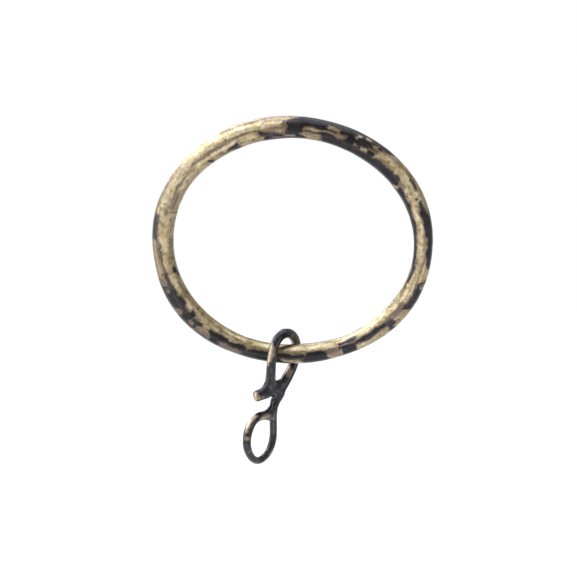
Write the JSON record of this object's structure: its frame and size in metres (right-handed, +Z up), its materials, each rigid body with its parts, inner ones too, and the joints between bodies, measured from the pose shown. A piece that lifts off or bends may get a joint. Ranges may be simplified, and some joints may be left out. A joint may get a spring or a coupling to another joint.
{
  "type": "hook game ring with wire eyelet",
  "caption": "Round-rod metal ring with a loose bent-wire eyelet threaded on it, for a hook and ring game or a curtain pole.",
  "frame": {"origin": "centre of the ring's clear opening", "axes": "+Z up, the way the eyelet hangs; X level across the ring; -Y the side that the ring's top leans to, 30 degrees from upright"},
  "size_m": [0.0448, 0.0261, 0.0565],
  "materials": {
    "ring_brass": "antique brass, dark brown patina rubbed back in patches, semi-gloss",
    "eyelet_brass": "antique brass wire, almost all dark patina, brass at rubbed bends and cut ends, semi-gloss"
  },
  "bodies": {
    "ring": {"ring": "ring_brass"},
    "eyelet": {"eyelet": "eyelet_brass"}
  },
  "joints": [
    {"name": "eyelet_swing", "type": "hinge", "parent": "ring", "child": "eyelet", "pos_m": [-0.00016, 0.01035, -0.01793], "axis": [1, 0, 0], "continuous": true}
  ]
}
